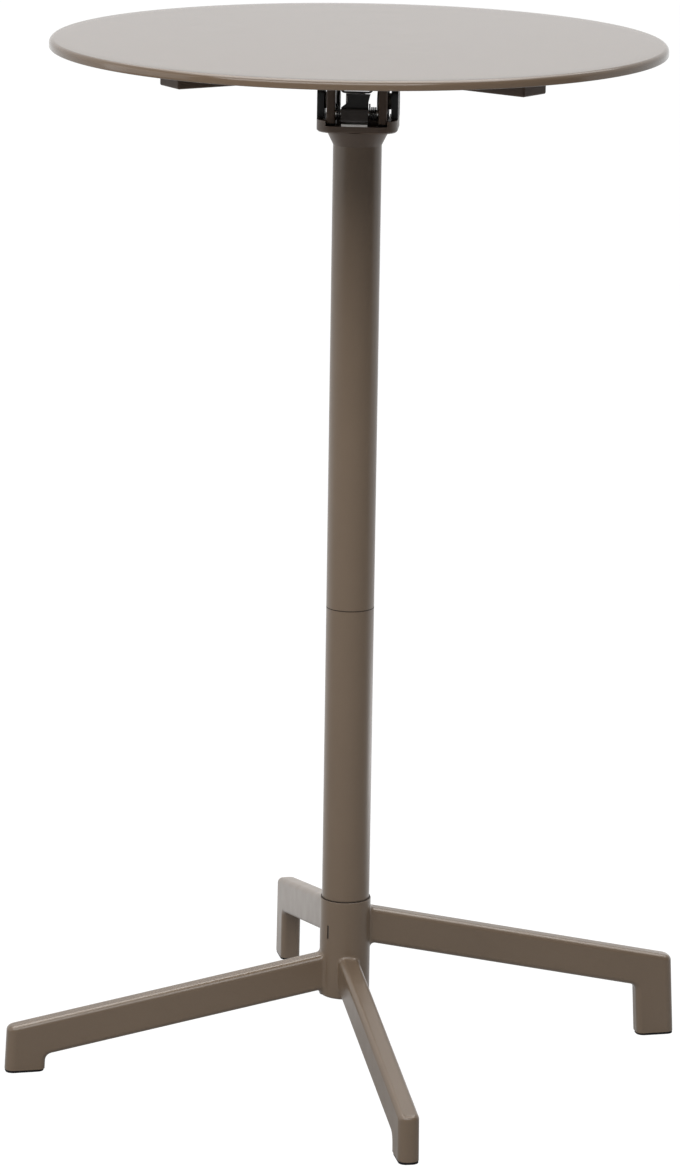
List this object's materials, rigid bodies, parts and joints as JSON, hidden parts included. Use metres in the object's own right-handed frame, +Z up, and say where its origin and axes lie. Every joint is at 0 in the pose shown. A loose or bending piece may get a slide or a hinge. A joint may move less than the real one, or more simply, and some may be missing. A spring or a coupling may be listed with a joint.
{
  "type": "folding bar table",
  "caption": "Free-standing bar-height table with a round sheet-metal top that tips upright on a latched pivot head, a straight tubular column and a nesting base of splayed legs.",
  "frame": {"origin": "on the floor, on the column's axis", "axes": "+Z up, X along the tilt pivot, -Y towards the latch at the front"},
  "size_m": [0.7118, 0.7206, 1.096],
  "materials": {
    "tabletop_coat": "fine matt powder coat, taupe",
    "taupe_coat": "fine matt powder coat, taupe",
    "black_nylon": "moulded, fine grain",
    "grey_nylon": "moulded, fine grain",
    "black_steel": "black oxide, slightly oiled",
    "bright_steel": "zinc plated",
    "pale_nylon": "natural nylon",
    "stop_rubber": "moulded rubber"
  },
  "bodies": {
    "base": {"leg_right": "taupe_coat", "leg_back": "taupe_coat", "leg_left": "taupe_coat", "leg_front": "taupe_coat", "glide_right": "black_nylon", "glide_back": "black_nylon", "glide_left": "black_nylon", "glide_front": "black_nylon", "hub": "taupe_coat", "hub_plug": "black_nylon", "index_key": "black_steel", "lower_tube": "taupe_coat", "upper_tube": "taupe_coat", "joint_sleeve": "bright_steel", "tie_rod": "bright_steel", "rod_washer": "bright_steel", "rod_nut": "bright_steel", "head_socket": "taupe_coat", "ear_left": "black_nylon", "ear_right": "black_nylon", "ear_screws": "bright_steel", "pivot_screws": "bright_steel", "strike_plate": "bright_steel", "strike_screws": "bright_steel", "stop_bumpers": "stop_rubber"},
    "top": {"tabletop": "tabletop_coat", "arm_front_left": "taupe_coat", "arm_front_right": "taupe_coat", "arm_back_left": "taupe_coat", "arm_back_right": "taupe_coat", "top_bosses": "taupe_coat", "arm_screws": "bright_steel", "bracket_plate": "taupe_coat", "bracket_screws": "bright_steel", "bracket_nuts": "bright_steel", "post_left": "taupe_coat", "post_right": "taupe_coat", "pivot_bushes": "pale_nylon", "pivot_caps": "black_nylon", "latch_pin": "bright_steel", "latch_springs": "black_steel", "keeper_wire": "black_steel"},
    "latch": {"latch_lever": "black_steel", "latch_paddle": "grey_nylon"}
  },
  "joints": [
    {"name": "top_tilt", "type": "hinge", "parent": "base", "child": "top", "pos_m": [0, 0.0155, 1.0307], "axis": [-1, 0, 0], "range_deg": [0, 90]},
    {"name": "latch_turn", "type": "hinge", "parent": "top", "child": "latch", "pos_m": [0, -0.022, 1.0226], "axis": [1, 0, 0], "range_deg": [-16, 6], "stiffness_Nm_per_rad": 0.15, "springref_deg": -25.78}
  ]
}
